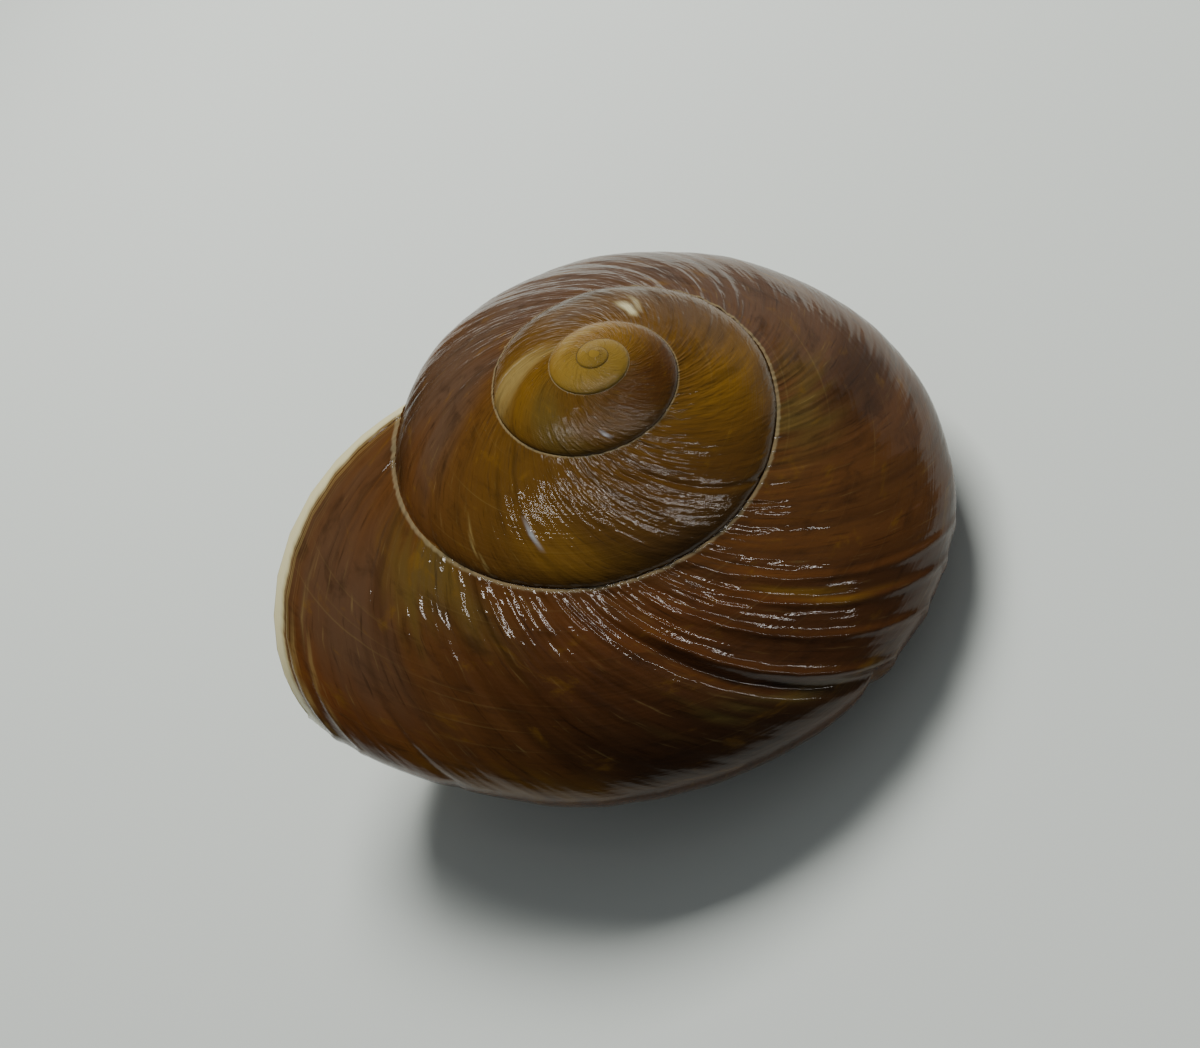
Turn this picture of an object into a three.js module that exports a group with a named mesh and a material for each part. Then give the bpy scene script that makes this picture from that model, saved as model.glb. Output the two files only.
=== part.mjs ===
// A large, low, right-handed snail shell, lying as it rests on a table with its spire up.
// It is one piece: a coiled tube with a thin wall, open at the mouth.
// Lengths are in millimetres and +Z is up.
import * as THREE from 'three';

// Growth of the coil
// The growth angle is 0 where the suture meets the lip, and runs back to the apex below 0.
const SUTURE_RADIUS = 28;
const GROWTH_RATE = 0.114;
const GROWTH_SLOWING = -0.0011;
const SPIRE_DROP = 0.4615;
const SPIRE_DOME = 1.1045;
const SPIRE_TURNS = 4.25;

// Cross section of a whorl, measured from its suture in suture radii
const CENTRE_OUT = -0.5375;
const CENTRE_UP = -0.28;
const HALF_WIDTH = 1.538;
const ROOF_HEIGHT = 0.405;
const BASE_DEPTH = 0.82;
const ROOF_ROUNDNESS = 2.05;
const BASE_ROUNDNESS = 2.1;
const SECTION_TILT = -0.21;

// Reach of the whorl's edge and of its suture at every tenth of a turn back from the lip,
// as shares of the half width and of the suture radius
const REACH = [1.063, 0.961, 0.88, 0.913, 0.977, 1.012, 0.983, 0.917, 0.889, 0.889, 0.921, 0.961, 1, 1];
const SUTURE_REACH = [0.925, 0.98, 1, 1.01, 1.01, 0.985, 1, 1.035, 1.055, 1.03, 0.985, 0.985, 1, 1];
const REACH_STEP = 0.2 * Math.PI;

// Lines of growth sweep back from the suture to the edge of the whorl
const SWEEP_AT_EDGE = 5 / 36 * 2 * Math.PI;
const SWEEP_CURVE = 0.4;
const SWEEP_AT_AXIS = 0.75;

// Turns of the outline: the free edge of the last whorl, and the span that holds the navel
const EDGE_TURN = 0.15;
const NAVEL_TURNS = [-1.2, -2.4];

// Places across a whorl, which run from 0 at the suture through 1 at the edge to 2 at the navel
const EDGE_FADE = 1.5;
const FURTHEST_CORNER = 1.6;
const PILLAR_PLACES = [1.3, 2];

// Wall, lip and axis, as shares of the suture radius
const WALL = 0.055;
const LIP_WALL = 0.025;
const LIP_TAPER = 0.7;
const NAVEL_RADIUS = 0.14;
const PILLAR_RADIUS = 0.28;
const PILLAR_SWELL = 0.12;
const NAVEL_FLOOR = -0.5;
const HOLLOW_TURNS = 2.2;

// Rest pose and the worn spots that it lies on
const TILT_ABOUT_X = THREE.MathUtils.degToRad(2.1);
const TILT_ABOUT_Y = THREE.MathUtils.degToRad(-15.2);
const WORN_DEPTH = 0.3;

// Fineness of the faces
const STEPS_PER_TURN = 36;
const EDGE_STEPS = 5;
const ROOF_COLUMNS = 6;
const BASE_COLUMNS = 12;
const NAVEL_COLUMNS = 3;
const HOLLOW_STEPS_PER_TURN = 18;
const FIRST_HOLLOW_STEPS = [0.2, 0.5, 1, 2, 3, 4];
const SEARCH_ROUNDS = 40;
const NEARBY = 0.002;

const TURN = 2 * Math.PI;
const STEP = TURN / STEPS_PER_TURN;
const COLUMNS = ROOF_COLUMNS + BASE_COLUMNS;

const { lerp, smoothstep } = THREE.MathUtils;
const radiusAt = (angle) => Math.exp(GROWTH_RATE * angle + GROWTH_SLOWING * angle * angle);
const heightAt = (angle) => -SPIRE_DROP * radiusAt(angle) ** SPIRE_DOME;

// A value between the listed ones, on a smooth curve
function fromTable(table, angle) {
  const place = Math.max(0, -angle / REACH_STEP);
  const knot = Math.min(Math.floor(place), table.length - 2);
  const part = Math.min(place - knot, 1);
  const value = (index) => table[THREE.MathUtils.clamp(index, 0, table.length - 1)];
  const before = (value(knot + 1) - value(knot - 1)) / 2;
  const after = (value(knot + 2) - value(knot)) / 2;
  const square = part * part;
  const cube = square * part;
  return value(knot) * (2 * cube - 3 * square + 1) + before * (cube - 2 * square + part)
    + value(knot + 1) * (3 * square - 2 * cube) + after * (cube - square);
}

// The line where a whorl meets the whorl before it
function suture(angle) {
  const radius = radiusAt(angle) * fromTable(SUTURE_REACH, angle);
  return new THREE.Vector2(radius, -SPIRE_DROP * radius ** SPIRE_DOME);
}

// Point of a whorl's outline: its distance from the axis and its height
function outline(angle, turn) {
  const across = Math.cos(turn);
  const up = Math.sin(turn);
  const power = 2 / (up > 0 ? ROOF_ROUNDNESS : BASE_ROUNDNESS);
  const depth = up > 0 ? ROOF_HEIGHT : BASE_DEPTH;
  const width = HALF_WIDTH * (across > 0 ? fromTable(REACH, angle) : 1);
  const x = width * Math.sign(across) * Math.abs(across) ** power;
  const y = depth * Math.sign(up) * Math.abs(up) ** power;
  const cos = Math.cos(SECTION_TILT);
  const sin = Math.sin(SECTION_TILT);
  const radius = radiusAt(angle);
  return new THREE.Vector2(
    radius * (1 + CENTRE_OUT + x * cos - y * sin),
    heightAt(angle) + radius * (CENTRE_UP + x * sin + y * cos),
  );
}

// Direction of a point from a whorl's centre, as a turn of its outline
function turnTowards(angle, point) {
  const radius = radiusAt(angle);
  const out = point.x / radius - 1 - CENTRE_OUT;
  const rise = (point.y - heightAt(angle)) / radius - CENTRE_UP;
  const cos = Math.cos(SECTION_TILT);
  const sin = Math.sin(SECTION_TILT);
  const x = out * cos + rise * sin;
  const y = rise * cos - out * sin;
  const width = HALF_WIDTH * (x > 0 ? fromTable(REACH, angle) : 1);
  const depth = y > 0 ? ROOF_HEIGHT : BASE_DEPTH;
  const power = (y > 0 ? ROOF_ROUNDNESS : BASE_ROUNDNESS) / 2;
  const across = Math.abs(x / width) ** power * Math.sign(x);
  const up = Math.abs(y / depth) ** power * Math.sign(y);
  return Math.atan2(up, across);
}

// Root of a function that changes sign at most once between two values
function solve(test, low, high) {
  const start = Math.sign(test(low));
  for (let round = 0; round < SEARCH_ROUNDS; round++) {
    const middle = (low + high) / 2;
    if (Math.sign(test(middle)) === start) low = middle;
    else high = middle;
  }
  return (low + high) / 2;
}

function navelTurn(angle) {
  const rim = NAVEL_RADIUS * radiusAt(angle);
  return solve((turn) => outline(angle, turn).x - rim, ...NAVEL_TURNS);
}

// Point of the outer surface at a place across the whorl
function surface(angle, place) {
  const start = turnTowards(angle, suture(angle));
  const touched = turnTowards(angle, suture(angle + TURN));
  const free = smoothstep(angle, -TURN, -TURN / 2);
  const edge = lerp(touched, EDGE_TURN, free);
  const turn = place <= 1 ? lerp(start, edge, place) : lerp(edge, navelTurn(angle), place - 1);
  const roof = smoothstep(place, 0, 1);
  const base = smoothstep(place, 1, EDGE_FADE);
  const startGap = suture(angle).sub(outline(angle, start));
  const edgeGap = suture(angle + TURN).sub(outline(angle, touched));
  return outline(angle, turn)
    .addScaledVector(startGap, 1 - roof)
    .addScaledVector(edgeGap, (1 - free) * (roof - base));
}

// How far a line of growth lies behind its start at the suture
function sweepAt(place) {
  if (place <= 1) return SWEEP_AT_EDGE * place * (1 + SWEEP_CURVE * (1 - place));
  return lerp(SWEEP_AT_EDGE, SWEEP_AT_AXIS, place - 1);
}

function placeOf(column) {
  if (column <= ROOF_COLUMNS) return column / ROOF_COLUMNS;
  return 1 + (column - ROOF_COLUMNS) / BASE_COLUMNS;
}

// A point at a growth angle round the axis, in millimetres
function placed(angle, point) {
  return new THREE.Vector3(point.x * Math.cos(-angle), point.x * Math.sin(-angle), point.y)
    .multiplyScalar(SUTURE_RADIUS);
}

const vertices = [];
const triangles = [];
const addVertex = (vertex) => vertices.push(vertex) - 1;

function addQuad(a, b, c, d) {
  addTriangle(a, b, c);
  addTriangle(a, c, d);
}

function addTriangle(a, b, c) {
  if (a !== b && b !== c && c !== a) triangles.push([a, c, b]);
}

// Outer surface: rows are lines of growth and columns run from the suture to the navel
const FIRST_ROW = -Math.round(SPIRE_TURNS * STEPS_PER_TURN);
const MOUTH_ROW = EDGE_STEPS - STEPS_PER_TURN;
const grid = new Map();

function gridVertex(row, column) {
  const shared = column === ROOF_COLUMNS && row <= MOUTH_ROW;
  const key = shared ? `${row - MOUTH_ROW}:0` : `${row}:${column}`;
  if (!grid.has(key)) {
    const keyRow = shared ? row - MOUTH_ROW : row;
    const place = placeOf(shared ? 0 : column);
    const angle = keyRow * STEP - sweepAt(place);
    grid.set(key, addVertex(placed(angle, surface(angle, place))));
  }
  return grid.get(key);
}

function addOuterSurface() {
  for (let row = FIRST_ROW; row < 0; row++) {
    const last = row < MOUTH_ROW ? ROOF_COLUMNS : COLUMNS;
    for (let column = 0; column < last; column++) {
      addQuad(
        gridVertex(row, column), gridVertex(row, column + 1),
        gridVertex(row + 1, column + 1), gridVertex(row + 1, column),
      );
    }
  }
}

// The tip of the spire closes the first turn
function addApex() {
  const rim = [];
  for (let column = 0; column < ROOF_COLUMNS; column++) rim.push(gridVertex(FIRST_ROW, column));
  for (let row = FIRST_ROW - MOUTH_ROW; row > FIRST_ROW; row--) rim.push(gridVertex(row, 0));
  const middle = new THREE.Vector3();
  for (const index of rim) middle.addScaledVector(vertices[index], 1 / rim.length);
  const tip = addVertex(middle.setZ(0));
  rim.forEach((index, place) => addTriangle(tip, rim[(place + 1) % rim.length], index));
}

// The inner lip runs from the foot of the outer lip to the whorl before it
const innerLip = [];

function addInnerLip() {
  const foot = vertices[gridVertex(0, COLUMNS)];
  const top = vertices[gridVertex(MOUTH_ROW, COLUMNS)];
  innerLip.push(gridVertex(0, COLUMNS));
  for (let step = 1; step < EDGE_STEPS; step++) {
    innerLip.push(addVertex(new THREE.Vector3().lerpVectors(foot, top, step / EDGE_STEPS)));
  }
  innerLip.push(gridVertex(MOUTH_ROW, COLUMNS));
}

// The navel is a narrow pit round the axis
function addNavel() {
  const floor = addVertex(new THREE.Vector3(0, 0, NAVEL_FLOOR * SUTURE_RADIUS));
  const rim = [];
  for (let row = MOUTH_ROW; row < 0; row++) rim.push(gridVertex(row, COLUMNS));
  rim.push(...innerLip.slice(0, -1));
  let ring = rim;
  for (let level = 1; level <= NAVEL_COLUMNS; level++) {
    const share = level / NAVEL_COLUMNS;
    const next = rim.map((index) => (level === NAVEL_COLUMNS ? floor
      : addVertex(new THREE.Vector3().lerpVectors(vertices[index], vertices[floor], share))));
    const upper = ring;
    upper.forEach((index, place) => {
      const other = (place + 1) % rim.length;
      addQuad(index, next[place], next[other], upper[other]);
    });
    ring = next;
  }
}

// Inner face of the wall
function innerSurface(angle, place, wall) {
  const along = surface(angle, place + NEARBY).sub(surface(angle, place - NEARBY)).normalize();
  return surface(angle, place).add(new THREE.Vector2(along.y, -along.x).multiplyScalar(wall));
}

// Where the inner face meets the whorl before it: places on its own roof and on that whorl
function cornerPlaces(angle, wall) {
  const start = suture(angle);
  const along = surface(angle, NEARBY).sub(start);
  const rate = along.length() / NEARBY;
  along.normalize();
  const offset = (place) => surface(angle - TURN, place).sub(start);
  const below = solve((place) => Math.abs(along.cross(offset(place))) - wall, 1, FURTHEST_CORNER);
  return { roof: along.dot(offset(below)) / rate, below };
}

// One ring of the hollow, a growth angle behind the mouth
function hollowRing(depth) {
  const taper = smoothstep(depth, 0, LIP_TAPER);
  const wall = lerp(LIP_WALL, WALL, taper) * radiusAt(-depth);
  const swell = 1 - Math.exp(-depth / PILLAR_SWELL);
  const pillar = lerp(NAVEL_RADIUS, PILLAR_RADIUS, swell) * radiusAt(-depth);
  const corner = cornerPlaces(-depth, wall);
  const ring = [];
  for (let column = 0; column <= COLUMNS; column++) {
    const share = placeOf(column);
    const angle = -depth - sweepAt(share);
    const end = solve((place) => innerSurface(angle, place, wall).x - pillar, ...PILLAR_PLACES);
    const place = share <= 1 ? lerp(corner.roof, 1, share) : lerp(1, end, share - 1);
    ring.push(placed(angle, innerSurface(angle, place, wall)));
  }
  const parietal = [];
  for (let column = 1; column <= BASE_COLUMNS; column++) {
    const share = column / BASE_COLUMNS;
    const angle = -depth - TURN + SWEEP_AT_EDGE - sweepAt(1 + share);
    const end = solve((place) => surface(angle, place).x - pillar, ...PILLAR_PLACES);
    parietal.push(placed(angle, surface(angle, lerp(corner.below, end, share))));
  }
  const foot = ring[COLUMNS];
  const top = parietal[BASE_COLUMNS - 1];
  for (let step = 1; step < EDGE_STEPS; step++) {
    ring.push(new THREE.Vector3().lerpVectors(foot, top, step / EDGE_STEPS));
  }
  return [...ring, ...parietal.reverse()].map(addVertex);
}

function mouthRing() {
  const ring = [];
  for (let column = 0; column < COLUMNS; column++) ring.push(gridVertex(0, column));
  ring.push(...innerLip);
  for (let column = COLUMNS - 1; column > ROOF_COLUMNS; column--) ring.push(gridVertex(MOUTH_ROW, column));
  return ring;
}

function addHollow() {
  const depths = FIRST_HOLLOW_STEPS.map((rows) => rows * STEP);
  while (depths.at(-1) < HOLLOW_TURNS * TURN) depths.push(depths.at(-1) + TURN / HOLLOW_STEPS_PER_TURN);
  let ring = mouthRing();
  for (const depth of depths) {
    const next = hollowRing(depth);
    for (let place = 0; place < ring.length; place++) {
      const other = (place + 1) % ring.length;
      addQuad(next[place], ring[place], ring[other], next[other]);
    }
    ring = next;
  }
  const middle = new THREE.Vector3();
  for (const index of ring) middle.addScaledVector(vertices[index], 1 / ring.length);
  const end = addVertex(middle);
  ring.forEach((index, place) => addTriangle(end, index, ring[(place + 1) % ring.length]));
}

// The shell tips over until it rests, and the spots that it lies on are worn flat
function setDown() {
  const tilt = new THREE.Matrix4().makeRotationFromEuler(new THREE.Euler(TILT_ABOUT_X, TILT_ABOUT_Y, 0));
  for (const vertex of vertices) vertex.applyMatrix4(tilt);
  const box = new THREE.Box3().setFromPoints(vertices);
  const centre = box.getCenter(new THREE.Vector3());
  for (const vertex of vertices) {
    vertex.x -= centre.x;
    vertex.y -= centre.y;
    vertex.z = Math.max(0, vertex.z - box.min.z - WORN_DEPTH);
  }
}

function shellGeometry() {
  addOuterSurface();
  addApex();
  addInnerLip();
  addNavel();
  addHollow();
  setDown();
  const geometry = new THREE.BufferGeometry().setFromPoints(vertices);
  geometry.setIndex(triangles.flat());
  geometry.computeVertexNormals();
  return geometry;
}

const shell = new THREE.Mesh(
  shellGeometry(),
  new THREE.MeshStandardMaterial({ color: 0x5a2f14, roughness: 0.3, metalness: 0 }),
);
shell.name = 'shell';

const model = new THREE.Group();
model.add(shell);

export default model;
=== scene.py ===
import math

import bpy
import numpy as np
from mathutils import Matrix, Vector


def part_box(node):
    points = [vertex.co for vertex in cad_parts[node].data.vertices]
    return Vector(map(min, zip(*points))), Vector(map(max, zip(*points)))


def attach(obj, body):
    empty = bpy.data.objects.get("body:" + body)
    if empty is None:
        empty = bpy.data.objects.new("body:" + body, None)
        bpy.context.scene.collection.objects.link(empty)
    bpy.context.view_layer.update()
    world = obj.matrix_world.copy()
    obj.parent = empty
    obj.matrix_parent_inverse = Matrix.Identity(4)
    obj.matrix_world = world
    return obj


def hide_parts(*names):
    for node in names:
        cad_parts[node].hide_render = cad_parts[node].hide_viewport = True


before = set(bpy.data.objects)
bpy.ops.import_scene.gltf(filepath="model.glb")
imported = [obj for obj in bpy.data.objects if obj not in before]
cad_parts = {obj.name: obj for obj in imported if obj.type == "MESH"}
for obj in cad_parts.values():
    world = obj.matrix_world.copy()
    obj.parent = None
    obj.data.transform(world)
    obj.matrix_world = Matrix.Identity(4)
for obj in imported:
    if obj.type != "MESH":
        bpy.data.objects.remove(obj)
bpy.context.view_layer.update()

CAD_LOW, CAD_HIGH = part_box("shell")

# Growth of the coil, with lengths as shares of the suture's radius at the lip
SUTURE_RADIUS = 0.028
GROWTH_RATE = 0.114
GROWTH_SLOWING = -0.0011
SPIRE_DROP = 0.4615
SPIRE_DOME = 1.1045
SPIRE_TURNS = 4.8

# Cross section of a whorl, measured from its suture
CENTRE_OUT = -0.5375
CENTRE_UP = -0.28
HALF_WIDTH = 1.538
ROOF_HEIGHT = 0.405
BASE_DEPTH = 0.82
ROOF_ROUNDNESS = 2.05
BASE_ROUNDNESS = 2.1
SECTION_TILT = -0.21

# At every tenth of a turn back from the lip: reach of the whorl's edge, and of its suture
REACH = np.array([1.063, 0.961, 0.88, 0.913, 0.977, 1.012, 0.983, 0.917, 0.889, 0.889, 0.921, 0.961, 1, 1])
SUTURE_REACH = np.array([0.925, 0.98, 1, 1.01, 1.01, 0.985, 1, 1.035, 1.055, 1.03, 0.985, 0.985, 1, 1])
REACH_STEP = 0.2 * math.pi

# Lines of growth, wall, lip and axis
SWEEP_AT_EDGE = math.radians(50)
SWEEP_CURVE = 0.4
SWEEP_AT_AXIS = 0.75
EDGE_TURN = 0.15
EDGE_FADE = 1.5
NAVEL_TURNS = (-1.2, -2.4)
WALL = 0.055
LIP_WALL = 0.014
LIP_TAPER = 0.7
NAVEL_RADIUS = 0.14
PILLAR_RADIUS = 0.28
PILLAR_SWELL = 0.12
PILLAR_PLACES = (1.3, 2)
FURTHEST_CORNER = 1.6
NAVEL_FLOOR = -0.5
HOLLOW_TURNS = 2.2

# Relief of the surface: heights in metres, widths in places, limits in turns back from the lip
FINE_RELIEF = 0.00003
BROAD_RELIEF = 0.00005
FOLD_RELIEF = 0.00009
THREAD_HEIGHT = 0.00014
THREAD_PLACE = 0.008
THREAD_REACH = 0.012
EARLY_BULGE = 0.0018
GROOVE_DEPTH = 0.00025
GROOVE_REACH = 0.04
SUTURE_BAND = 0.22
RELIEF_LIMITS = (-3.2, -1.6)
THREAD_LIMITS = (-3.6, -2.2)
BULGE_LIMITS = (-1.6, -2.8)
GROOVE_START = (-1.0, -1.1)
GROOVE_END = (-4.4, -3.9)
RIDGE_START = (0.02, 0.3)
BASE_FADE = (2.0, 1.6)

# Waves of the relief for each turn, and the range of each part of a wave
FINE_WAVES = 150
BROAD_WAVES = 46
FOLD_WAVES = 13
PATCHY_WAVES = 3
THREAD_WAVES = 120
WAVE_PARTS = 7
WAVE_SPREAD = (0.62, 1.45)
WAVE_DRIFT = (-2.5, 2.5)
WAVE_SHARE = (0.5, 1.0)

# Growth ridges and scars: turn, half width in turns, height in metres
GROWTH_RIDGES = [
    (-0.016, 0.0028, 0.00022), (-0.030, 0.002, 0.00012), (-0.075, 0.004, -0.00012),
    (-0.262, 0.006, -0.00045), (-0.272, 0.004, 0.0003), (-0.30, 0.003, 0.00018),
    (-0.325, 0.0035, 0.0002), (-0.345, 0.003, 0.00015), (-1.005, 0.008, -0.0002),
    (-1.3, 0.005, -0.00012), (-1.92, 0.006, 0.00012),
]

# Tones of the skin and of the glazed inside, as on a screen
TONES = {
    "umber": (80, 48, 19), "gold": (86, 58, 16), "chestnut": (60, 30, 10), "dark": (24, 13, 5),
    "amber": (108, 76, 18), "straw": (148, 128, 76), "ochre": (122, 96, 36), "olive": (86, 72, 32),
    # This greyish tone is painted sheen: the reflection of a bright wall, laid into the skin's colour
    "painted_sheen": (76, 61, 50),
    "cream": (208, 200, 158), "rust": (104, 54, 18), "bone": (136, 124, 94), "scuff": (170, 176, 184),
    "glaze": (206, 196, 186), "lilac": (176, 160, 160),
}

# Ground of the skin from the apex on, and the turns over which each next tone takes over
FIRST_GROUND = "ochre"
GROUNDS = [("amber", -3.1, -2.7), ("gold", -2.7, -2.4), ("umber", -1.15, -0.95)]

# How far patches stray along the coil and across it: reach, waves for each turn, seed, bend
TURN_STRAYS = [(0.010, 9, 21, 0.1), (0.004, 40, 22, 0.2)]
PLACE_STRAYS = [(0.06, 14, 23, 0), (0.03, 60, 24, 0)]

# Patches of the skin: tone, turn, place, half length in turns, half width in places, strength
# The greyish sheen patches paint the reflection of a bright wall into the skin's colour
PATCHES = [
    ("painted_sheen", -0.72, 0.35, 0.22, 0.5, 0.7), ("painted_sheen", -0.9, 0.3, 0.08, 0.35, 0.5),
    ("dark", -0.9, 0.85, 0.05, 0.25, 0.6), ("dark", -0.485, 0.4, 0.03, 0.25, 0.6),
    ("olive", -0.5, 0.1, 0.05, 0.1, 0.6), ("rust", -0.29, 0.2, 0.07, 0.12, 0.35),
    ("chestnut", -0.3, 0.6, 0.06, 0.5, 0.6), ("dark", -0.2, 0.75, 0.06, 0.4, 0.7),
    ("olive", -0.25, 0.75, 0.012, 0.12, 0.6), ("olive", -0.225, 0.6, 0.012, 0.06, 0.7),
    ("chestnut", -0.2, 0.3, 0.06, 0.2, 0.5), ("olive", -0.14, 0.1, 0.04, 0.14, 0.6),
    ("amber", -0.1, 0.9, 0.05, 0.12, 0.6), ("rust", -0.05, 0.85, 0.05, 0.25, 0.5),
    ("painted_sheen", -0.06, 0.35, 0.05, 0.3, 0.5),
    ("straw", -1.94, 0.5, 0.035, 0.6, 0.55), ("painted_sheen", -1.78, 0.3, 0.08, 0.15, 0.6),
    ("painted_sheen", -1.58, 0.5, 0.08, 0.25, 0.5), ("dark", -1.72, 0.75, 0.12, 0.25, 0.6),
    ("amber", -1.45, 0.4, 0.07, 0.3, 0.8), ("amber", -2.02, 0.3, 0.04, 0.5, 0.6),
    ("chestnut", -1.3, 0.5, 0.1, 0.5, 0.35), ("dark", -1.22, 0.8, 0.06, 0.2, 0.5),
    ("amber", -1.15, 0.65, 0.035, 0.2, 0.7), ("painted_sheen", -0.98, 0.3, 0.04, 0.3, 0.4),
    ("chestnut", -2.4, 0.5, 0.14, 0.6, 0.7), ("amber", -2.75, 0.2, 0.1, 0.3, 0.5),
    ("straw", -2.8, 0.5, 0.15, 0.15, 0.4), ("olive", -2.1, 0.5, 0.06, 0.5, 0.6),
]

# Small marks, in the same terms: a chip, scuffs, an amber scar, dark cracks and pale growth lines
MARKS = [
    ("cream", -1.694, 0.24, 0.012, 0.10, 0.75), ("cream", -1.672, 0.33, 0.008, 0.06, 0.6),
    ("scuff", -1.146, 0.31, 0.004, 0.018, 0.8), ("scuff", -1.140, 0.345, 0.003, 0.012, 0.7),
    ("scuff", -1.137, 0.49, 0.003, 0.02, 0.8), ("scuff", -1.130, 0.53, 0.002, 0.018, 0.7),
    ("scuff", -2.20, 0.62, 0.005, 0.03, 0.6), ("amber", -0.334, 0.34, 0.0035, 0.13, 0.9),
    ("amber", -0.328, 0.50, 0.003, 0.12, 0.7), ("dark", -0.262, 0.55, 0.0025, 0.2, 0.8),
    ("dark", -0.485, 0.155, 0.004, 0.02, 0.8), ("straw", -0.017, 0.8, 0.0018, 0.25, 0.5),
    ("straw", -0.031, 0.7, 0.0016, 0.3, 0.35), ("straw", -1.065, 0.75, 0.0016, 0.2, 0.6),
]

# Patterns of the skin: scale along and across the coil, shift, detail, roughness, distortion
PATTERNS = {
    "lines": (300, 5, 0, 3, 0.6, 0), "bands": (70, 1.6, 3, 2, 0.5, 0), "clouds": (34, 8, 7, 4, 0.65, 0.5),
    "spirals": (5, 60, 11, 2, 0.5, 0), "wrinkles": (150, 9, 29, 1, 0.4, 0), "grain": (700, 14, 23, 2, 0.5, 0),
    "thread": (160, 0.5, 5, 2, 0.5, 0), "ragged": (30, 30, 9, 3, 0.5, 0), "lip": (900, 0.6, 13, 1, 0.5, 0),
    "glaze": (40, 2, 17, 3, 0.5, 0), "stain": (130, 2, 19, 2, 0.5, 0),
}

# Flecks over the skin: pattern, where it begins and is full, strength, tone, share on older whorls
FLECKS = [
    ("bands", 0.5, 0.8, 0.35, "dark", 1), ("clouds", 0.5, 0.72, 0.42, "dark", 0.25),
    ("clouds", 0.44, 0.25, 0.45, "amber", 1), ("lines", 0.6, 0.85, 0.3, "straw", 1),
    ("lines", 0.44, 0.25, 0.5, "dark", 1), ("spirals", 0.6, 0.8, 0.12, "straw", 1),
]
OLDER_WHORLS = (-1.3, -0.9)

# Relief that only the shading shows: pattern and height in metres
SHADED_RELIEF = [
    ("bands", 0.00008), ("wrinkles", 0.00016), ("lines", 0.00001), ("grain", 0.000004), ("spirals", 0.00002),
]

# Gloss of the skin
ROUGHNESS = 0.5
# Extra roughness where the sheen is painted
PAINTED_SHEEN_ROUGHNESS = 0.22
LINE_ROUGHNESS = (-0.05, 0.08)
COAT_WEIGHT = 0.75
COAT_ROUGHNESS = 0.04
SPECULAR_LEVEL = 0.12

# Camera, in the frame's coordinates, with the photo's width and focal length in pixels
CAMERA_PLACE = (-0.069161, 0.077341, 0.127366)
CAMERA_FORWARD = (0.4717, -0.4944, -0.7301)
CAMERA_UP = (-0.0502, -0.8417, 0.5376)
SENSOR_WIDTH = 36
PHOTO_WIDTH = 1200
FOCAL_LENGTH = 1300

# Floor and sky
FLOOR_REACH = 3.0
FLOOR_COLOUR = (0.58, 0.605, 0.58, 1)
FLOOR_ROUGHNESS = 0.6
SKY_COLOUR = (0.82, 0.88, 0.9, 1)
SKY_STRENGTH = 0.25

# Lights: name, place, what it faces, size, power in watts, colour, and whether only the gloss shows it
LIGHTS = [
    ("soft", (0.13, -0.29, 0.46), (0, 0, 0), (0.28, 0.22), 5.4, (0.99, 1.0, 0.96), False),
    ("strip", (-0.75, 0.05, 0.9), (-0.75, 0.05, 0), (2.0, 0.015), 3.6, (1.0, 1.0, 0.97), True),
    ("wall", (-0.2, -1.3, 0.25), (0, 0, 0), (2.4, 0.6), 1.0, (0.92, 0.88, 0.93), True),
]

# Rest pose
TILT_ABOUT_X = math.radians(2.1)
TILT_ABOUT_Y = math.radians(-15.2)
WORN_DEPTH = 0.0004
BOX_SHARE = 0.9995

# Fineness of the mesh
STEPS_PER_TURN = 720
EDGE_STEPS = 100
ROOF_COLUMNS = 16
BASE_COLUMNS = 26
NAVEL_COLUMNS = 6
CROWDING = 0.14
SEARCH_ROUNDS = 30
LISTED_COUNT = 3000
NEARBY = 0.002

TURN = 2 * math.pi
STEP = TURN / STEPS_PER_TURN

# Rings of the hollow, as growth angles behind the mouth
FIRST_DEPTHS = [0.004, 0.01, 0.02, 0.035, 0.06, 0.09, 0.13, 0.18]
NEAR_STEP = 0.08
FAR_STEP = 0.16
NEAR_REACH = 0.75 * TURN

COLUMNS = ROOF_COLUMNS + BASE_COLUMNS
FIRST_ROW = -round(SPIRE_TURNS * STEPS_PER_TURN)
MOUTH_ROW = EDGE_STEPS - STEPS_PER_TURN


def lerp(a, b, share):
    return a + (b - a) * share


def smoothstep(value, low, high):
    share = np.clip((value - low) / (high - low), 0, 1)
    return share * share * (3 - 2 * share)


def radius_at(angle):
    return np.exp(GROWTH_RATE * angle + GROWTH_SLOWING * angle ** 2)


def height_at(angle):
    return -SPIRE_DROP * radius_at(angle) ** SPIRE_DOME


def from_table(table, angle):
    """A value between the listed ones, on a smooth curve."""
    place = np.clip(-angle / REACH_STEP, 0, None)
    last = len(table) - 1
    knot = np.minimum(np.floor(place).astype(int), last - 1)
    part = np.minimum(place - knot, 1)
    before = (table[knot + 1] - table[np.clip(knot - 1, 0, last)]) / 2
    after = (table[np.clip(knot + 2, 0, last)] - table[knot]) / 2
    cube = part ** 3
    square = part ** 2
    return (table[knot] * (2 * cube - 3 * square + 1) + before * (cube - 2 * square + part)
            + table[knot + 1] * (3 * square - 2 * cube) + after * (cube - square))


def outline(angle, turn):
    """Distance from the axis and height of a point of a whorl's outline."""
    across = np.cos(turn)
    up = np.sin(turn)
    power = 2 / np.where(up > 0, ROOF_ROUNDNESS, BASE_ROUNDNESS)
    width = HALF_WIDTH * np.where(across > 0, from_table(REACH, angle), 1)
    x = width * np.sign(across) * np.abs(across) ** power
    y = np.where(up > 0, ROOF_HEIGHT, BASE_DEPTH) * np.sign(up) * np.abs(up) ** power
    cos = math.cos(SECTION_TILT)
    sin = math.sin(SECTION_TILT)
    radius = radius_at(angle)
    return (radius * (1 + CENTRE_OUT + x * cos - y * sin),
            height_at(angle) + radius * (CENTRE_UP + x * sin + y * cos))


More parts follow.
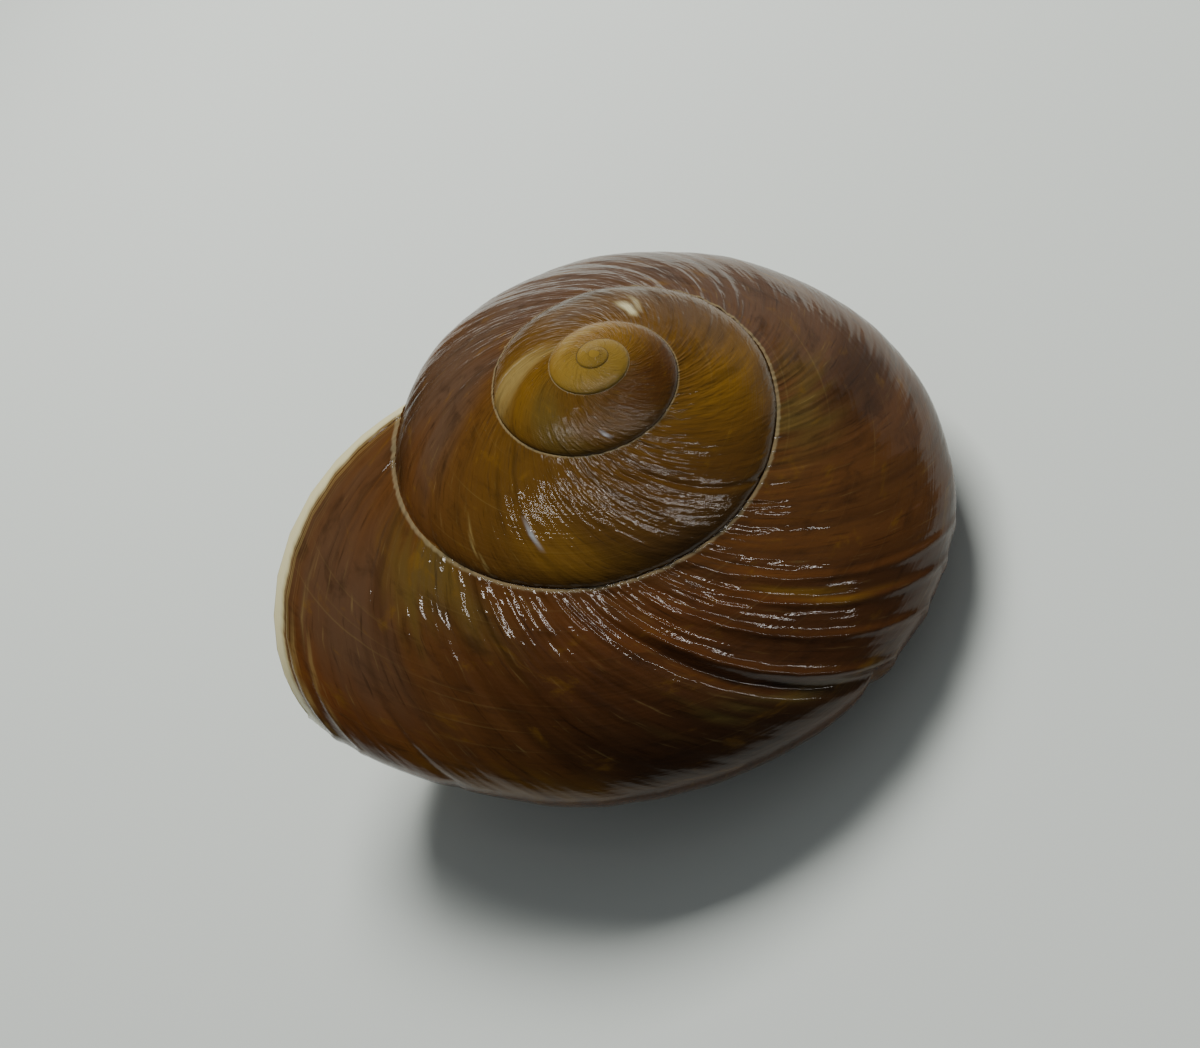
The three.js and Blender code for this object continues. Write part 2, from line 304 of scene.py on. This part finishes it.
def suture(angle):
    """The line where a whorl meets the whorl before it."""
    radius = radius_at(angle) * from_table(SUTURE_REACH, angle)
    return radius, -SPIRE_DROP * radius ** SPIRE_DOME


def turn_towards(angle, point):
    """Direction of a point from a whorl's centre, as a turn of its outline."""
    radius = radius_at(angle)
    out = point[0] / radius - 1 - CENTRE_OUT
    rise = (point[1] - height_at(angle)) / radius - CENTRE_UP
    cos = math.cos(SECTION_TILT)
    sin = math.sin(SECTION_TILT)
    x = out * cos + rise * sin
    y = rise * cos - out * sin
    width = HALF_WIDTH * np.where(x > 0, from_table(REACH, angle), 1)
    depth = np.where(y > 0, ROOF_HEIGHT, BASE_DEPTH)
    power = np.where(y > 0, ROOF_ROUNDNESS, BASE_ROUNDNESS) / 2
    across = np.abs(x / width) ** power * np.sign(x)
    up = np.abs(y / depth) ** power * np.sign(y)
    return np.arctan2(up, across)


def solve(test, low, high, shape):
    """Roots of a function that changes sign at most once between two values."""
    low = np.broadcast_to(low, shape).astype(float)
    high = np.broadcast_to(high, shape).astype(float)
    start = np.sign(test(low))
    for _ in range(SEARCH_ROUNDS):
        middle = (low + high) / 2
        same = np.sign(test(middle)) == start
        low = np.where(same, middle, low)
        high = np.where(same, high, middle)
    return (low + high) / 2


def navel_turns(angle):
    """Where the outline reaches the rim of the navel."""
    def test(turn):
        return outline(angle, turn)[0] - NAVEL_RADIUS * radius_at(angle)
    return solve(test, *NAVEL_TURNS, np.shape(angle))


LISTED_ANGLES = np.linspace(-(SPIRE_TURNS + 2) * TURN, TURN, LISTED_COUNT)
LISTED_NAVEL = navel_turns(LISTED_ANGLES)


def navel_turn(angle):
    return np.interp(angle, LISTED_ANGLES, LISTED_NAVEL)


def surface(angle, place):
    """Point of the outer surface: place is 0 at the suture, 1 at the edge and 2 at the navel."""
    start = turn_towards(angle, suture(angle))
    touched = turn_towards(angle, suture(angle + TURN))
    free = smoothstep(angle, -TURN, -TURN / 2)
    edge = lerp(touched, EDGE_TURN, free)
    turn = np.where(place <= 1, lerp(start, edge, np.minimum(place, 1)),
                    lerp(edge, navel_turn(angle), np.maximum(place - 1, 0)))
    roof = smoothstep(place, 0, 1)
    base = smoothstep(place, 1, EDGE_FADE)
    at_start = outline(angle, start)
    at_edge = outline(angle, touched)
    return tuple(
        point + (wanted - begun) * (1 - roof) + (following - reached) * (1 - free) * (roof - base)
        for point, wanted, begun, following, reached in zip(
            outline(angle, turn), suture(angle), at_start, suture(angle + TURN), at_edge))


def column_shares():
    """Share of the roof, then of the base, at each column; roof columns crowd at the sutures."""
    even = np.arange(ROOF_COLUMNS + 1) / ROOF_COLUMNS
    roof = even - CROWDING * np.sin(TURN * even)
    base = np.arange(1, BASE_COLUMNS + 1) / BASE_COLUMNS
    return np.concatenate([roof, 1 + base])


PLACE = column_shares()


def sweep_at(place):
    """How far a line of growth lies behind its start at the suture."""
    roof = np.minimum(place, 1)
    on_roof = SWEEP_AT_EDGE * roof * (1 + SWEEP_CURVE * (1 - roof))
    return np.where(place <= 1, on_roof, lerp(SWEEP_AT_EDGE, SWEEP_AT_AXIS, place - 1))


def placed(angle, section):
    out, high = section
    point = np.stack([out * np.cos(-angle), out * np.sin(-angle), high * np.ones_like(angle)], -1)
    return point * SUTURE_RADIUS


def inner_surface(angle, place, wall):
    """The inner face of the wall."""
    out, high = surface(angle, place)
    out_after, high_after = surface(angle, place + NEARBY)
    out_before, high_before = surface(angle, place - NEARBY)
    along = np.stack([out_after - out_before, high_after - high_before])
    along = along / np.hypot(*along)
    return out + along[1] * wall, high - along[0] * wall


def corner_places(angle, wall):
    """Where the inner face meets the whorl before it: places on its own roof and on that whorl."""
    out, high = suture(angle)
    out_after, high_after = surface(angle, np.array(NEARBY))
    along = np.array([out_after - out, high_after - high])
    rate = np.hypot(*along) / NEARBY
    along = along / np.hypot(*along)

    def offset(place):
        before = surface(angle - TURN, place)
        return before[0] - out, before[1] - high

    def test(place):
        x, y = offset(place)
        return np.abs(along[0] * y - along[1] * x) - wall
    place = solve(test, 1, FURTHEST_CORNER, ())
    x, y = offset(place)
    return (along[0] * x + along[1] * y) / rate, place


class ShellMesh:
    """Gathers the vertices, faces and growth coordinates of the shell."""

    def __init__(self):
        self.points = []
        self.count = 0
        self.faces = []
        self.turns = []
        self.places = []
        self.inside = []
        self.rows = []
        self.spots = []

    def add_points(self, points, row, spot, inside):
        """Adds vertices with their row, their place across the whorl and how far inside they are."""
        points = np.reshape(points, (-1, 3))
        first = self.count
        self.count += len(points)
        self.points.append(points)
        self.rows.append(np.broadcast_to(row, len(points)).astype(float))
        self.spots.append(np.broadcast_to(spot, len(points)).astype(float))
        self.inside.append(np.broadcast_to(inside, len(points)).astype(float))
        return np.arange(first, self.count)

    def add_faces(self, corners, turns, places):
        """Adds quads or triangles, with a growth angle and a place for every corner."""
        self.faces.append(np.reshape(corners, (-1, np.shape(corners)[-1])))
        self.turns.append(np.reshape(turns, -1))
        self.places.append(np.reshape(places, -1))


def outer_surface(shell):
    """Rows are lines of growth, columns run from the suture to the navel."""
    rows = np.arange(FIRST_ROW, 1)
    angle = rows[:, None] * STEP - sweep_at(PLACE)[None, :]
    place = np.broadcast_to(PLACE, angle.shape)
    owned = np.ones(angle.shape, bool)
    owned[rows <= MOUTH_ROW, ROOF_COLUMNS] = False
    owned[rows < MOUTH_ROW, ROOF_COLUMNS:] = False
    points = placed(angle[owned], surface(angle[owned], place[owned]))
    row_of = np.broadcast_to(rows[:, None], angle.shape)
    index = np.full(angle.shape, -1)
    index[owned] = shell.add_points(points, row_of[owned] * STEP / TURN, place[owned], 0)
    shared = np.nonzero(rows <= MOUTH_ROW)[0]
    index[shared, ROOF_COLUMNS] = index[shared - MOUTH_ROW, 0]
    roof = (0, np.arange(ROOF_COLUMNS))
    base = (MOUTH_ROW - FIRST_ROW, np.arange(ROOF_COLUMNS, COLUMNS))
    for first, low in (roof, base):
        here = index[first:-1]
        there = index[first + 1:]
        quad = np.stack([here[:, low], there[:, low], there[:, low + 1], here[:, low + 1]], -1)
        turn = rows[first:-1, None] * STEP + np.zeros(len(low))
        turns = np.stack([turn, turn + STEP, turn + STEP, turn], -1)
        places = np.stack([place[first:-1, low], place[first:-1, low],
                           place[first:-1, low + 1], place[first:-1, low + 1]], -1)
        shell.add_faces(quad, turns, places)
    return index


def close_fan(shell, ring, tip, turn, place):
    """Triangles from a ring to one point."""
    after = np.roll(ring, -1)
    corners = np.stack([ring, after, np.full(len(ring), tip)], -1)
    shell.add_faces(corners, np.full(corners.shape, turn), np.full(corners.shape, place))


def join_rings(shell, ring, following, turns, places):
    """Quads between two rings; turns and places hold the values of each ring."""
    after = np.roll(ring, -1)
    after_following = np.roll(following, -1)
    corners = np.stack([ring, following, after_following, after], -1)
    turn = np.stack([turns[0], turns[1], np.roll(turns[1], -1), np.roll(turns[0], -1)], -1)
    place = np.stack([places[0], places[1], np.roll(places[1], -1), np.roll(places[0], -1)], -1)
    shell.add_faces(corners, turn, place)


def apex(shell, index):
    """The tip of the spire closes the first turn."""
    start = -MOUTH_ROW
    rim = np.concatenate([index[0, :ROOF_COLUMNS], index[start:0:-1, 0]])
    points = np.concatenate(shell.points)[rim]
    middle = points.mean(0)
    middle[2] = min(0, points[:, 2].max())
    tip = shell.add_points(middle, FIRST_ROW * STEP / TURN, 0.5, 0)[0]
    close_fan(shell, rim, tip, FIRST_ROW * STEP, 0.5)


def inner_lip(shell, index):
    """Runs from the foot of the outer lip to the whorl before it."""
    points = np.concatenate(shell.points)
    mouth = MOUTH_ROW - FIRST_ROW
    foot = points[index[-1, COLUMNS]]
    top = points[index[mouth, COLUMNS]]
    share = np.arange(1, EDGE_STEPS)[:, None] / EDGE_STEPS
    between = shell.add_points(lerp(foot, top, share), 0, 2, 0.5)
    return np.concatenate([[index[-1, COLUMNS]], between, [index[mouth, COLUMNS]]])


def navel(shell, index, lip):
    """A narrow pit round the axis."""
    mouth = MOUTH_ROW - FIRST_ROW
    ring = np.concatenate([index[mouth:-1, COLUMNS], lip[:-1]])
    rim = np.concatenate(shell.points)[ring]
    floor = np.array([0, 0, NAVEL_FLOOR * SUTURE_RADIUS])
    turn = np.concatenate([np.arange(MOUTH_ROW, 0), np.zeros(EDGE_STEPS)]) * STEP
    for level in range(1, NAVEL_COLUMNS):
        share = level / NAVEL_COLUMNS
        points = lerp(rim, floor, share)
        following = shell.add_points(points, 0, 2 + share, 0)
        places = (np.full(len(ring), 2 + (level - 1) / NAVEL_COLUMNS), np.full(len(ring), 2 + share))
        join_rings(shell, following, ring, (turn, turn), places[::-1])
        ring = following
    tip = shell.add_points(floor, 0, 3, 0)[0]
    close_fan(shell, ring, tip, 0, 3)


def hollow_ring(depth):
    """One ring of the hollow, a growth angle behind the mouth."""
    taper = smoothstep(depth, 0, LIP_TAPER)
    wall = lerp(LIP_WALL, WALL, taper) * radius_at(-depth)
    swell = 1 - math.exp(-depth / PILLAR_SWELL)
    pillar = lerp(NAVEL_RADIUS, PILLAR_RADIUS, swell) * radius_at(-depth)
    corner, below = corner_places(np.array(-depth), wall)
    angle = -depth - sweep_at(PLACE)

    def clear_of_pillar(place):
        return inner_surface(angle, place, wall)[0] - pillar
    end = solve(clear_of_pillar, *PILLAR_PLACES, angle.shape)
    place = np.where(PLACE <= 1, lerp(corner, 1, np.minimum(PLACE, 1)),
                     lerp(1, end, np.maximum(PLACE - 1, 0)))
    outer = placed(angle, inner_surface(angle, place, wall))
    base = PLACE[ROOF_COLUMNS + 1:]
    angle = -depth - TURN + SWEEP_AT_EDGE - sweep_at(base)

    def off_pillar(place):
        return surface(angle, place)[0] - pillar
    end = solve(off_pillar, *PILLAR_PLACES, angle.shape)
    parietal = placed(angle, surface(angle, lerp(below, end, base - 1)))
    share = np.arange(1, EDGE_STEPS)[:, None] / EDGE_STEPS
    middle = lerp(outer[-1], parietal[-1], share)
    return np.concatenate([outer, middle, parietal[::-1]])


def hollow(shell, index, lip):
    """The inner face, ring by ring from the mouth to where the hollow ends."""
    mouth = MOUTH_ROW - FIRST_ROW
    ring = np.concatenate([index[-1, :COLUMNS], lip, index[mouth, COLUMNS - 1:ROOF_COLUMNS:-1]])
    place = np.concatenate([PLACE, np.full(EDGE_STEPS - 1, 2.0), 2 + (2 - PLACE[:ROOF_COLUMNS:-1])])
    depths = list(FIRST_DEPTHS)
    while depths[-1] < HOLLOW_TURNS * TURN:
        depths.append(depths[-1] + (NEAR_STEP if depths[-1] < NEAR_REACH else FAR_STEP))
    before = 0.0
    for depth in depths:
        points = hollow_ring(depth)
        following = shell.add_points(points, -depth / TURN, place, 1)
        turns = (np.full(len(ring), -before), np.full(len(ring), -depth))
        join_rings(shell, ring, following, turns, (place, place))
        ring = following
        before = depth
    middle = points.mean(0)
    tip = shell.add_points(middle, -before / TURN, 1, 1)[0]
    close_fan(shell, ring[::-1], tip, -before, 1)


def vertex_normals(points, quads, triangles):
    normals = np.zeros_like(points)
    for faces in (quads, triangles):
        a, b, c = (points[faces[:, 0]], points[faces[:, 1]], points[faces[:, -1]])
        face_normal = np.cross(b - a, c - a)
        for corner in range(faces.shape[1]):
            np.add.at(normals, faces[:, corner], face_normal)
    length = np.linalg.norm(normals, axis=1, keepdims=True)
    return normals / np.maximum(length, 1e-12)


def waves(turn, place, per_turn, seed, bend=0.0):
    """Uneven waves along the coil, with a slow change across the whorl, from -1 to 1."""
    random = np.random.default_rng(seed)
    total = np.zeros_like(turn)
    weight = 0.0
    for _ in range(WAVE_PARTS):
        count = per_turn * random.uniform(*WAVE_SPREAD)
        phase = random.uniform(0, TURN)
        drift = random.uniform(*WAVE_DRIFT)
        share = random.uniform(*WAVE_SHARE)
        total += share * np.sin(TURN * count * (turn + bend * place) + phase + drift * place)
        weight += share ** 2
    return total / math.sqrt(weight)


def bump(value, middle, reach):
    """A smooth bump, 1 in the middle."""
    return np.exp(-((value - middle) / reach) ** 2)


def relief(turn, place):
    """Height of the growth lines, ridges and scars over the smooth surface, in metres."""
    near_suture = bump(place, 0, SUTURE_BAND)
    grown = smoothstep(turn, *RELIEF_LIMITS)
    patchy = 0.55 + 0.45 * waves(turn, place, PATCHY_WAVES, seed=11)
    size = radius_at(turn * TURN)
    fine = waves(turn, place, FINE_WAVES, seed=1) * (0.3 + 1.6 * near_suture) * patchy
    broad = waves(turn, place, BROAD_WAVES, seed=2) * (0.5 + 0.8 * near_suture)
    folds = waves(turn, place, FOLD_WAVES, seed=3)
    height = (FINE_RELIEF * fine + BROAD_RELIEF * broad + FOLD_RELIEF * folds) * size * grown
    for middle, reach, strength in GROWTH_RIDGES:
        height = height + strength * bump(turn, middle, reach) * smoothstep(place, *RIDGE_START)
    thread = bump(place, THREAD_PLACE, THREAD_REACH) * smoothstep(turn, *THREAD_LIMITS)
    height = height + THREAD_HEIGHT * thread * size * (1 + 0.35 * waves(turn, place, THREAD_WAVES, seed=5))
    early = smoothstep(turn, *BULGE_LIMITS)
    height = height + EARLY_BULGE * early * size * np.sin(math.pi * np.clip(place, 0, 1))
    groove = bump(place, 1, GROOVE_REACH) * smoothstep(turn, *GROOVE_START) * smoothstep(turn, *GROOVE_END)
    height = height - GROOVE_DEPTH * groove * size
    outer = smoothstep(place, *BASE_FADE)
    return height * outer


def roughen(points, normals, turn, place, inside):
    """Moves the outer surface along its normals."""
    height = relief(turn, place) * (1 - np.minimum(inside, 1))
    return points + normals * height[:, None]


def set_down(points):
    """Tips the shell over to its rest pose, inside the box of its solid."""
    tilt = Matrix.Rotation(TILT_ABOUT_X, 3, "X") @ Matrix.Rotation(TILT_ABOUT_Y, 3, "Y")
    points = points @ np.array(tilt).T
    low = points.min(0)
    high = points.max(0)
    points = points - [(low[0] + high[0]) / 2, (low[1] + high[1]) / 2, low[2] + WORN_DEPTH]
    size = points.max(0) - [points[:, 0].min(), points[:, 1].min(), 0]
    room = np.array(CAD_HIGH) - np.array(CAD_LOW)
    points = points * min(1.0, (room / size).min() * BOX_SHARE)
    points[:, 2] = np.maximum(points[:, 2], 0)
    return points


def build_shell():
    shell = ShellMesh()
    index = outer_surface(shell)
    apex(shell, index)
    lip = inner_lip(shell, index)
    navel(shell, index, lip)
    hollow(shell, index, lip)
    points = np.concatenate(shell.points)
    quads = np.concatenate([f for f in shell.faces if f.shape[1] == 4])
    triangles = np.concatenate([f for f in shell.faces if f.shape[1] == 3])
    turns = np.concatenate([t for t, f in zip(shell.turns, shell.faces) if f.shape[1] == 4]
                           + [t for t, f in zip(shell.turns, shell.faces) if f.shape[1] == 3])
    places = np.concatenate([p for p, f in zip(shell.places, shell.faces) if f.shape[1] == 4]
                            + [p for p, f in zip(shell.places, shell.faces) if f.shape[1] == 3])
    turn = np.concatenate(shell.rows)
    place = np.concatenate(shell.spots)
    inside = np.concatenate(shell.inside)
    normals = vertex_normals(points, quads, triangles)
    points = set_down(roughen(points, normals, turn, place, inside))
    mesh = bpy.data.meshes.new("shell_skin")
    mesh.from_pydata(points.tolist(), [], quads.tolist() + triangles.tolist())
    growth = mesh.uv_layers.new(name="Growth")
    growth.data.foreach_set("uv", np.stack([turns / TURN, places], -1).ravel())
    paint_shell(mesh, turn, place, inside)
    mesh.polygons.foreach_set("use_smooth", np.ones(len(mesh.polygons), bool))
    mesh.update()
    piece = bpy.data.objects.new("shell_skin", mesh)
    bpy.context.scene.collection.objects.link(piece)
    return piece


def linear(colour):
    """Linear light of a colour given as on a screen, from 0 to 255."""
    share = np.asarray(colour) / 255
    return np.where(share <= 0.04045, share / 12.92, ((share + 0.055) / 1.055) ** 2.4)


def strayed(value, strays, turn, place):
    """A coordinate that wanders by uneven waves."""
    for reach, per_turn, seed, bend in strays:
        value = value + reach * waves(turn, place, per_turn, seed, bend)
    return value


def tone_at(turn, place):
    """Colour of the skin: a ground that changes slowly, with uneven patches, some of them painted sheen, and
    small marks over it.
    """
    colour = linear(TONES[FIRST_GROUND])
    for tone, start, end in GROUNDS:
        colour = lerp(colour, linear(TONES[tone]), smoothstep(turn, start, end)[:, None])
    stray_turn = strayed(turn, TURN_STRAYS, turn, place)
    stray_place = strayed(place, PLACE_STRAYS, turn, place)
    for tone, middle, across, length, width, strength in PATCHES:
        distance = ((stray_turn - middle) / length) ** 2 + ((stray_place - across) / width) ** 2
        share = strength * np.exp(-distance ** 1.4)
        colour = lerp(colour, linear(TONES[tone]), share[:, None])
    for tone, middle, across, length, width, strength in MARKS:
        wander = turn + 0.002 * np.sin(34 * place + middle)
        distance = ((wander - middle) / length) ** 2 + ((place - across) / width) ** 2
        colour = lerp(colour, linear(TONES[tone]), (strength * np.exp(-distance ** 2))[:, None])
    return colour


def paint_shell(mesh, turn, place, inside):
    """Stores the skin's tone, and how much sheen is painted on each point and how far inside it is."""
    colour = np.ones((len(turn), 4))
    colour[:, :3] = tone_at(turn, place)
    tone = mesh.attributes.new("tone", "FLOAT_COLOR", "POINT")
    tone.data.foreach_set("color", colour.ravel())
    # Mask of the painted sheen patches, which the gloss reads to be duller there
    painted_sheen = np.zeros(len(turn))
    for name, middle, across, length, width, strength in PATCHES:
        if name == "painted_sheen":
            distance = ((turn - middle) / length) ** 2 + ((place - across) / width) ** 2
            painted_sheen = np.maximum(painted_sheen, strength * np.exp(-distance))
    for name, values in (("painted_sheen", painted_sheen), ("inside", inside)):
        attribute = mesh.attributes.new(name, "FLOAT", "POINT")
        attribute.data.foreach_set("value", values)


class Graph:
    """Short names for the nodes of one material."""

    def __init__(self, name):
        self.material = bpy.data.materials.new(name)
        self.material.use_nodes = True
        self.tree = self.material.node_tree
        self.shader = self.tree.nodes["Principled BSDF"]

    def link(self, output, node, socket):
        self.tree.links.new(output, node.inputs[socket])

    def put(self, node, socket, value):
        if isinstance(value, bpy.types.NodeSocket):
            self.link(value, node, socket)
        else:
            node.inputs[socket].default_value = value

    def math(self, operation, first, second=0.0, clamp=False):
        node = self.tree.nodes.new("ShaderNodeMath")
        node.operation = operation
        node.use_clamp = clamp
        self.put(node, 0, first)
        self.put(node, 1, second)
        return node.outputs[0]

    def attribute(self, name):
        node = self.tree.nodes.new("ShaderNodeAttribute")
        node.attribute_name = name
        return node

    def growth(self, along, across, shift):
        """Growth coordinates, stretched along and across the coil."""
        uv = self.tree.nodes.new("ShaderNodeUVMap")
        uv.uv_map = "Growth"
        mapping = self.tree.nodes.new("ShaderNodeMapping")
        self.link(uv.outputs["UV"], mapping, "Vector")
        mapping.inputs["Scale"].default_value = (along, across, 1)
        mapping.inputs["Location"].default_value = (shift, shift, shift)
        return mapping.outputs["Vector"]

    def pattern(self, along, across, shift, detail, roughness, distortion):
        """Noise on the growth coordinates."""
        node = self.tree.nodes.new("ShaderNodeTexNoise")
        self.link(self.growth(along, across, shift), node, "Vector")
        node.inputs["Scale"].default_value = 1
        node.inputs["Detail"].default_value = detail
        node.inputs["Roughness"].default_value = roughness
        node.inputs["Distortion"].default_value = distortion
        return node.outputs["Fac"]

    def step(self, value, low, high, to_low=0.0, to_high=1.0):
        """A smooth step from one value to another."""
        node = self.tree.nodes.new("ShaderNodeMapRange")
        node.interpolation_type = "SMOOTHSTEP"
        self.put(node, "Value", value)
        node.inputs["From Min"].default_value = low
        node.inputs["From Max"].default_value = high
        node.inputs["To Min"].default_value = to_low
        node.inputs["To Max"].default_value = to_high
        return node.outputs["Result"]

    def mix(self, share, first, second):
        """A colour between two others, each a socket or the name of a tone."""
        node = self.tree.nodes.new("ShaderNodeMix")
        node.data_type = "RGBA"
        self.put(node, 0, share)
        for socket, value in ((6, first), (7, second)):
            if isinstance(value, str):
                node.inputs[socket].default_value = (*linear(TONES[value]), 1)
            else:
                self.put(node, socket, value)
        return node.outputs[2]

    def bump(self, height, distance, normal=None):
        node = self.tree.nodes.new("ShaderNodeBump")
        self.link(height, node, "Height")
        node.inputs["Strength"].default_value = 1
        node.inputs["Distance"].default_value = distance
        if normal is not None:
            self.link(normal, node, "Normal")
        return node.outputs["Normal"]


def add_flecks(graph, skin, turn, patterns):
    """Streaks along the growth lines, and flecks."""
    for name, begin, full, strength, tone, on_older in FLECKS:
        share = graph.step(patterns[name], begin, full, 0, strength)
        if on_older < 1:
            share = graph.math("MULTIPLY", share, graph.step(turn, *OLDER_WHORLS, on_older, 1))
        skin = graph.mix(share, skin, tone)
    return skin


def add_sutures(graph, skin, turn, place, patterns):
    """Painted shade in the groove at the end of each whorl, and a pale thread at the start of the next."""
    # Painted shade along the suture's groove, on the older whorls and round the apex
    groove = graph.math("MULTIPLY", graph.step(place, 0.965, 1.0), graph.step(turn, -1.0, -1.04))
    early_groove_shade = graph.math("MULTIPLY", graph.step(place, 0.06, 0.0), graph.step(turn, -2.5, -3.0))
    groove = graph.math("MAXIMUM", groove, early_groove_shade)
    skin = graph.mix(graph.math("MULTIPLY", groove, 0.75), skin, "dark")
    beside = graph.math("SUBTRACT", place, graph.math("MULTIPLY", patterns["thread"], 0.016))
    thread = graph.math("MULTIPLY", graph.step(beside, 0.008, 0.0), graph.step(turn, -3.4, -2.6))
    return graph.mix(graph.math("MULTIPLY", thread, 0.5), skin, "bone")


def add_lip(graph, skin, turn, patterns):
    """A cream band along the lip, with pale lines behind it."""
    to_lip = graph.math("ADD", turn, graph.math("MULTIPLY", patterns["ragged"], 0.004))
    lines = graph.step(patterns["lip"], 0.45, 0.6)
    near_lip = graph.math("MULTIPLY", graph.step(to_lip, -0.022, -0.006), lines)
    skin = graph.mix(graph.math("MULTIPLY", near_lip, 0.6), skin, "straw")
    return graph.mix(graph.step(to_lip, -0.0105, -0.004, 0, 0.85), skin, "cream")


def glaze_colour(graph, patterns):
    """The pale glaze of the inside."""
    glaze = graph.mix(graph.step(patterns["glaze"], 0.35, 0.7), "glaze", "lilac")
    return graph.mix(graph.step(patterns["stain"], 0.5, 0.75, 0, 0.35), glaze, "rust")


def skin_roughness(graph, patterns):
    """Duller where the sheen is painted, and uneven along the growth lines."""
    painted_sheen = graph.attribute("painted_sheen").outputs["Fac"]
    dull = graph.math("MULTIPLY_ADD", painted_sheen, PAINTED_SHEEN_ROUGHNESS)
    dull.node.inputs[2].default_value = ROUGHNESS
    return graph.math("ADD", dull, graph.step(patterns["lines"], 0.3, 0.7, *LINE_ROUGHNESS), True)


def skin_normal(graph, turn, place, patterns):
    """Fine relief, with wrinkles that are strongest beside the suture of the younger whorls."""
    beside_suture = graph.step(place, 0.1, 0.6, 1, 0.3)
    younger = graph.step(turn, -3.6, -2.6, 0.3, 1)
    strength = graph.math("MULTIPLY", beside_suture, younger)
    heights = dict(patterns, wrinkles=graph.math("MULTIPLY", patterns["wrinkles"], strength))
    normal = None
    for name, height in SHADED_RELIEF:
        normal = graph.bump(heights[name], height, normal)
    return normal


def shell_material():
    graph = Graph("shell_skin")
    uv = graph.tree.nodes.new("ShaderNodeUVMap")
    uv.uv_map = "Growth"
    parts = graph.tree.nodes.new("ShaderNodeSeparateXYZ")
    graph.link(uv.outputs["UV"], parts, "Vector")
    turn = parts.outputs["X"]
    place = parts.outputs["Y"]
    patterns = {name: graph.pattern(*settings) for name, settings in PATTERNS.items()}

    skin = add_flecks(graph, graph.attribute("tone").outputs["Color"], turn, patterns)
    skin = add_sutures(graph, skin, turn, place, patterns)
    skin = add_lip(graph, skin, turn, patterns)
    inside = graph.step(graph.attribute("inside").outputs["Fac"], 0.1, 0.6)
    graph.link(graph.mix(inside, skin, glaze_colour(graph, patterns)), graph.shader, "Base Color")
    graph.link(skin_roughness(graph, patterns), graph.shader, "Roughness")
    normal = skin_normal(graph, turn, place, patterns)
    graph.link(normal, graph.shader, "Normal")
    graph.link(normal, graph.shader, "Coat Normal")
    graph.shader.inputs["Coat Weight"].default_value = COAT_WEIGHT
    graph.shader.inputs["Coat Roughness"].default_value = COAT_ROUGHNESS
    graph.shader.inputs["Specular IOR Level"].default_value = SPECULAR_LEVEL
    return graph.material


def add_camera():
    """Stands where the photograph was taken from."""
    forward = Vector(CAMERA_FORWARD).normalized()
    right = forward.cross(Vector(CAMERA_UP)).normalized()
    up = right.cross(forward)
    data = bpy.data.cameras.new("camera")
    data.sensor_width = SENSOR_WIDTH
    data.lens = SENSOR_WIDTH * FOCAL_LENGTH / PHOTO_WIDTH
    camera = bpy.data.objects.new("camera", data)
    turn = Matrix((right, up, -forward)).transposed()
    camera.matrix_world = Matrix.Translation(CAMERA_PLACE) @ turn.to_4x4()
    bpy.context.scene.collection.objects.link(camera)
    bpy.context.scene.camera = camera


def add_floor():
    mesh = bpy.data.meshes.new("floor")
    low = -FLOOR_REACH
    high = FLOOR_REACH
    mesh.from_pydata([(low, low, 0), (high, low, 0), (high, high, 0), (low, high, 0)], [], [(0, 1, 2, 3)])
    floor = bpy.data.objects.new("floor", mesh)
    bpy.context.scene.collection.objects.link(floor)
    material = bpy.data.materials.new("floor")
    material.use_nodes = True
    shader = material.node_tree.nodes["Principled BSDF"]
    shader.inputs["Base Color"].default_value = FLOOR_COLOUR
    shader.inputs["Roughness"].default_value = FLOOR_ROUGHNESS
    mesh.materials.append(material)


def add_light(name, place, target, size, power, colour, gloss_only):
    """A light is seen either in the gloss alone or everywhere but in the gloss."""
    data = bpy.data.lights.new(name, "AREA")
    data.shape = "RECTANGLE"
    data.size, data.size_y = size
    data.energy = power
    data.color = colour
    lamp = bpy.data.objects.new(name, data)
    turn = (Vector(place) - Vector(target)).to_track_quat("Z", "Y").to_matrix().to_4x4()
    lamp.matrix_world = Matrix.Translation(place) @ turn
    lamp.visible_glossy = gloss_only
    lamp.visible_diffuse = not gloss_only
    bpy.context.scene.collection.objects.link(lamp)


def add_sky():
    """An even sky, which the gloss doesn't show."""
    world = bpy.data.worlds.new("studio")
    bpy.context.scene.world = world
    world.use_nodes = True
    background = world.node_tree.nodes["Background"]
    background.inputs["Color"].default_value = SKY_COLOUR
    background.inputs["Strength"].default_value = SKY_STRENGTH
    world.cycles_visibility.glossy = False


add_camera()
skin = build_shell()
skin.data.materials.append(shell_material())
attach(skin, "root")
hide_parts("shell")
add_floor()
add_sky()
for light in LIGHTS:
    add_light(*light)
